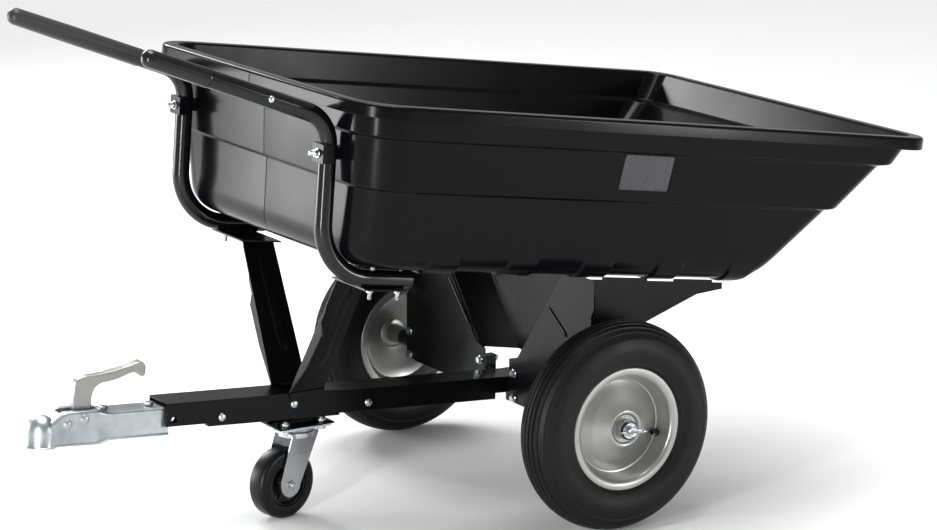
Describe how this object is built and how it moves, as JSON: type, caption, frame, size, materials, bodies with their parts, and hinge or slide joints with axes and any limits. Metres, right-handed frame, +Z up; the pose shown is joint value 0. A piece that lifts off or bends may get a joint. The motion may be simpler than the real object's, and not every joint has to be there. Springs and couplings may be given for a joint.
{
  "type": "tow behind cart",
  "caption": "Rigid two-wheeled garden tow cart with a moulded tray, wheelbarrow handles, a ball coupling and a swivelling nose castor.",
  "frame": {"origin": "on the ground, under the middle of the cart's length and width", "axes": "+X forward to the coupling, +Y to the cart's left, +Z up"},
  "size_m": [1.711, 0.924, 0.9636],
  "materials": {
    "tray_plastic": "moulded satin black",
    "label_plate": "printed plate, left blank",
    "frame_paint": "black powder coat",
    "grip_rubber": "satin sleeve",
    "zinc": "bright zinc plating",
    "cast_zinc": "cast and tumbled",
    "spring_steel": "wire",
    "axle_steel": "turned bar",
    "rim_silver": "silver paint",
    "tyre": "ribbed rubber",
    "castor_rubber": "smooth rubber",
    "castor_plastic": "moulded plastic"
  },
  "bodies": {
    "chassis": {"tray": "tray_plastic", "tray_label": "label_plate", "side_tube_left": "frame_paint", "side_tube_right": "frame_paint", "handle_insert_left": "frame_paint", "handle_insert_right": "frame_paint", "handle_grip_left": "grip_rubber", "handle_grip_right": "grip_rubber", "handle_bolts": "zinc", "tube_clamp_left": "frame_paint", "tube_clamp_right": "frame_paint", "clamp_bolts": "zinc", "front_strut_left": "frame_paint", "front_strut_right": "frame_paint", "strut_bolts": "zinc", "drawbar_front": "frame_paint", "drawbar_rear": "frame_paint", "drawbar_bolts": "zinc", "coupling_tongue": "frame_paint", "coupling_housing": "zinc", "coupling_bolts": "zinc", "coupling_pins": "zinc", "coupling_spring": "spring_steel", "castor_mount_plate": "frame_paint", "castor_top_plate": "zinc", "castor_plate_bolts": "zinc", "castor_kingpin": "zinc", "castor_race": "zinc", "cradle_left": "frame_paint", "cradle_right": "frame_paint", "cradle_web": "frame_paint", "cradle_bolts": "zinc", "axle": "axle_steel", "axle_clamps": "frame_paint", "clamp_screws": "zinc", "axle_spacers": "castor_plastic", "axle_washers": "zinc", "hairpin_left": "spring_steel", "hairpin_right": "spring_steel"},
    "wheel_left": {"wheel_left_tyre": "tyre", "wheel_left_rim": "rim_silver", "wheel_left_bushes": "castor_plastic", "wheel_left_valve": "castor_rubber"},
    "wheel_right": {"wheel_right_tyre": "tyre", "wheel_right_rim": "rim_silver", "wheel_right_bushes": "castor_plastic", "wheel_right_valve": "castor_rubber"},
    "castor_yoke": {"castor_fork": "zinc", "castor_axle_bolt": "zinc"},
    "castor_wheel": {"castor_tyre": "castor_rubber", "castor_hub": "castor_plastic", "castor_bush": "castor_plastic"},
    "lever": {"coupling_lever": "cast_zinc"},
    "jaw": {"coupling_jaw": "cast_zinc"}
  },
  "joints": [
    {"name": "wheel_left_spin", "type": "hinge", "parent": "chassis", "child": "wheel_left", "pos_m": [-0.16234, 0.394, 0.2], "axis": [0, 1, 0], "continuous": true},
    {"name": "wheel_right_spin", "type": "hinge", "parent": "chassis", "child": "wheel_right", "pos_m": [-0.16234, -0.394, 0.2], "axis": [0, 1, 0], "continuous": true},
    {"name": "castor_swivel", "type": "hinge", "parent": "chassis", "child": "castor_yoke", "pos_m": [0.29966, 0, 0.16], "axis": [0, 0, 1], "continuous": true},
    {"name": "castor_spin", "type": "hinge", "parent": "castor_yoke", "child": "castor_wheel", "pos_m": [0.33669, 0.00855, 0.0675], "axis": [-0.225, 0.9744, 0], "continuous": true},
    {"name": "lever_lift", "type": "hinge", "parent": "chassis", "child": "lever", "pos_m": [0.74779, 0, 0.25423], "axis": [0, 1, 0], "range_deg": [0, 45], "stiffness_Nm_per_rad": 1, "springref_deg": -28.65},
    {"name": "jaw_swing", "type": "hinge", "parent": "chassis", "child": "jaw", "pos_m": [0.78145, 0, 0.24981], "axis": [0, 1, 0], "range_deg": [0, 15]}
  ],
  "couplings": [
    {"joint": "jaw_swing", "follows": "lever_lift", "ratio": 0.3}
  ]
}
